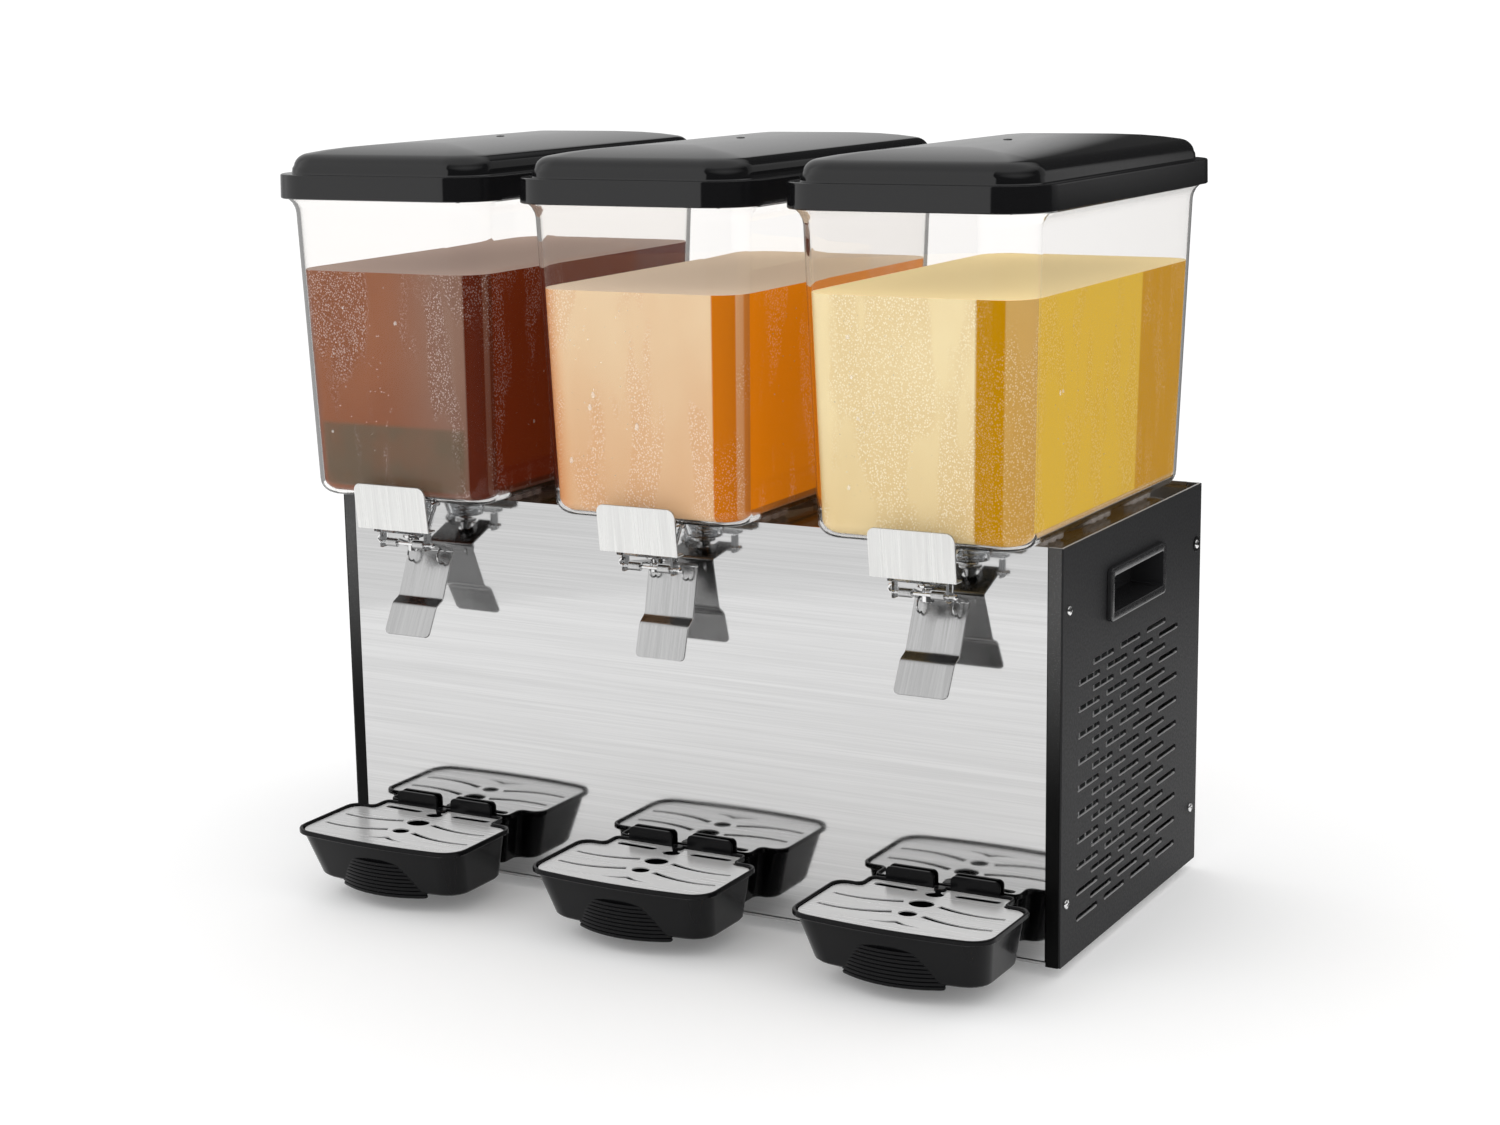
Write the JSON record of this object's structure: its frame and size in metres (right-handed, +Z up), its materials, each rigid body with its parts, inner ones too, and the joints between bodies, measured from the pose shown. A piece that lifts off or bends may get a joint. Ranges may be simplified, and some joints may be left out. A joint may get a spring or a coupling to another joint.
{
  "type": "refrigerated drink dispenser",
  "caption": "Chilled drink dispenser: clear lift-off tanks with black lids on a louvred steel cabinet, each with a push-lever tap over a drip tray.",
  "frame": {"origin": "centre of the overall bounding box's base, on the counter", "axes": "+Z up, +X to the right of a person facing the taps, -Y towards that person"},
  "size_m": [0.638, 0.408, 0.589],
  "materials": {
    "black_gloss": "gloss",
    "black_powder_coat": "satin, fine texture",
    "clear_plastic": "clear, gloss",
    "stainless": "brushed",
    "chrome": "polished",
    "rubber": "matte",
    "silicone": "matte",
    "white_plastic": "matte",
    "dark_paint": "satin",
    "aluminium": "matte"
  },
  "bodies": {
    "cabinet": {"base_pan": "aluminium", "front_panel": "stainless", "back_panel": "stainless", "left_side_panel": "black_powder_coat", "right_side_panel": "black_powder_coat", "top_deck": "black_gloss", "left_grip": "black_gloss", "right_grip": "black_gloss", "compressor": "dark_paint", "condenser": "aluminium", "fan_motor": "dark_paint", "power_inlet": "black_gloss", "left_foot": "rubber", "right_foot": "rubber", "left_evaporator": "stainless", "left_tank_seal": "silicone", "left_agitator_motor": "dark_paint", "middle_evaporator": "stainless", "middle_tank_seal": "silicone", "middle_agitator_motor": "dark_paint", "right_evaporator": "stainless", "right_tank_seal": "silicone", "right_agitator_motor": "dark_paint"},
    "left_tank_body": {"left_tank": "clear_plastic", "left_tap_spout": "clear_plastic", "left_tap_plate": "stainless", "left_tap_pin": "chrome", "left_tap_spring": "chrome"},
    "left_lid_body": {"left_lid": "black_gloss"},
    "left_lever_body": {"left_tap_lever": "stainless"},
    "left_plunger_body": {"left_tap_plunger": "chrome"},
    "left_agitator_body": {"left_agitator": "white_plastic"},
    "left_tray_body": {"left_drip_tray": "black_gloss"},
    "left_grate_body": {"left_drip_grate": "stainless"},
    "middle_tank_body": {"middle_tank": "clear_plastic", "middle_tap_spout": "clear_plastic", "middle_tap_plate": "stainless", "middle_tap_pin": "chrome", "middle_tap_spring": "chrome"},
    "middle_lid_body": {"middle_lid": "black_gloss"},
    "middle_lever_body": {"middle_tap_lever": "stainless"},
    "middle_plunger_body": {"middle_tap_plunger": "chrome"},
    "middle_agitator_body": {"middle_agitator": "white_plastic"},
    "middle_tray_body": {"middle_drip_tray": "black_gloss"},
    "middle_grate_body": {"middle_drip_grate": "stainless"},
    "right_tank_body": {"right_tank": "clear_plastic", "right_tap_spout": "clear_plastic", "right_tap_plate": "stainless", "right_tap_pin": "chrome", "right_tap_spring": "chrome"},
    "right_lid_body": {"right_lid": "black_gloss"},
    "right_lever_body": {"right_tap_lever": "stainless"},
    "right_plunger_body": {"right_tap_plunger": "chrome"},
    "right_agitator_body": {"right_agitator": "white_plastic"},
    "right_tray_body": {"right_drip_tray": "black_gloss"},
    "right_grate_body": {"right_drip_grate": "stainless"},
    "fan_body": {"fan_blade": "white_plastic"},
    "switch_body": {"power_switch": "black_gloss"},
    "knob_body": {"thermostat_knob": "black_gloss"}
  },
  "joints": [
    {"name": "left_tank_lift", "type": "slide", "parent": "cabinet", "child": "left_tank_body", "axis": [0, 0, 1], "range_m": [0, 0.1]},
    {"name": "left_lid_lift", "type": "slide", "parent": "left_tank_body", "child": "left_lid_body", "axis": [0, 0, 1], "range_m": [0, 0.12]},
    {"name": "left_lever_press", "type": "hinge", "parent": "left_tank_body", "child": "left_lever_body", "pos_m": [-0.216, -0.143, 0.284], "axis": [1, 0, 0], "range_deg": [0, 30], "stiffness_Nm_per_rad": 0.35, "springref_deg": -6.88},
    {"name": "left_plunger_lift", "type": "slide", "parent": "left_tank_body", "child": "left_plunger_body", "axis": [0, 0, 1], "range_m": [0, 0.005], "deforming": ["left_tap_spring"]},
    {"name": "left_agitator_spin", "type": "hinge", "parent": "cabinet", "child": "left_agitator_body", "pos_m": [-0.22, 0.023, 0.38], "axis": [0, 0, 1], "continuous": true},
    {"name": "left_tray_pull", "type": "slide", "parent": "cabinet", "child": "left_tray_body", "axis": [0, -1, 0], "range_m": [0, 0.12]},
    {"name": "left_grate_lift", "type": "slide", "parent": "left_tray_body", "child": "left_grate_body", "axis": [0, 0, 1], "range_m": [0, 0.06]},
    {"name": "middle_tank_lift", "type": "slide", "parent": "cabinet", "child": "middle_tank_body", "axis": [0, 0, 1], "range_m": [0, 0.1]},
    {"name": "middle_lid_lift", "type": "slide", "parent": "middle_tank_body", "child": "middle_lid_body", "axis": [0, 0, 1], "range_m": [0, 0.12]},
    {"name": "middle_lever_press", "type": "hinge", "parent": "middle_tank_body", "child": "middle_lever_body", "pos_m": [0.004, -0.143, 0.284], "axis": [1, 0, 0], "range_deg": [-12, 18], "stiffness_Nm_per_rad": 0.35},
    {"name": "middle_plunger_lift", "type": "slide", "parent": "middle_tank_body", "child": "middle_plunger_body", "axis": [0, 0, 1], "range_m": [-0.002, 0.003], "deforming": ["middle_tap_spring"]},
    {"name": "middle_agitator_spin", "type": "hinge", "parent": "cabinet", "child": "middle_agitator_body", "pos_m": [0, 0.023, 0.38], "axis": [0, 0, 1], "continuous": true},
    {"name": "middle_tray_pull", "type": "slide", "parent": "cabinet", "child": "middle_tray_body", "axis": [0, -1, 0], "range_m": [0, 0.12]},
    {"name": "middle_grate_lift", "type": "slide", "parent": "middle_tray_body", "child": "middle_grate_body", "axis": [0, 0, 1], "range_m": [0, 0.06]},
    {"name": "right_tank_lift", "type": "slide", "parent": "cabinet", "child": "right_tank_body", "axis": [0, 0, 1], "range_m": [0, 0.1]},
    {"name": "right_lid_lift", "type": "slide", "parent": "right_tank_body", "child": "right_lid_body", "axis": [0, 0, 1], "range_m": [0, 0.12]},
    {"name": "right_lever_press", "type": "hinge", "parent": "right_tank_body", "child": "right_lever_body", "pos_m": [0.224, -0.143, 0.284], "axis": [1, 0, 0], "range_deg": [0, 30], "stiffness_Nm_per_rad": 0.35, "springref_deg": -6.88},
    {"name": "right_plunger_lift", "type": "slide", "parent": "right_tank_body", "child": "right_plunger_body", "axis": [0, 0, 1], "range_m": [0, 0.005], "deforming": ["right_tap_spring"]},
    {"name": "right_agitator_spin", "type": "hinge", "parent": "cabinet", "child": "right_agitator_body", "pos_m": [0.22, 0.023, 0.38], "axis": [0, 0, 1], "continuous": true},
    {"name": "right_tray_pull", "type": "slide", "parent": "cabinet", "child": "right_tray_body", "axis": [0, -1, 0], "range_m": [0, 0.12]},
    {"name": "right_grate_lift", "type": "slide", "parent": "right_tray_body", "child": "right_grate_body", "axis": [0, 0, 1], "range_m": [0, 0.06]},
    {"name": "fan_spin", "type": "hinge", "parent": "cabinet", "child": "fan_body", "pos_m": [0.226, 0.048, 0.118], "axis": [1, 0, 0], "continuous": true},
    {"name": "switch_rock", "type": "hinge", "parent": "cabinet", "child": "switch_body", "pos_m": [0.25, 0.187, 0.262], "axis": [1, 0, 0], "range_deg": [0, 14]},
    {"name": "thermostat_turn", "type": "hinge", "parent": "cabinet", "child": "knob_body", "pos_m": [0.185, 0.191, 0.262], "axis": [0, 1, 0], "range_deg": [0, 270]}
  ],
  "couplings": [
    {"joint": "left_plunger_lift", "follows": "left_lever_press", "m_per_rad": 0.009549},
    {"joint": "middle_plunger_lift", "follows": "middle_lever_press", "m_per_rad": 0.009549},
    {"joint": "right_plunger_lift", "follows": "right_lever_press", "m_per_rad": 0.009549}
  ]
}
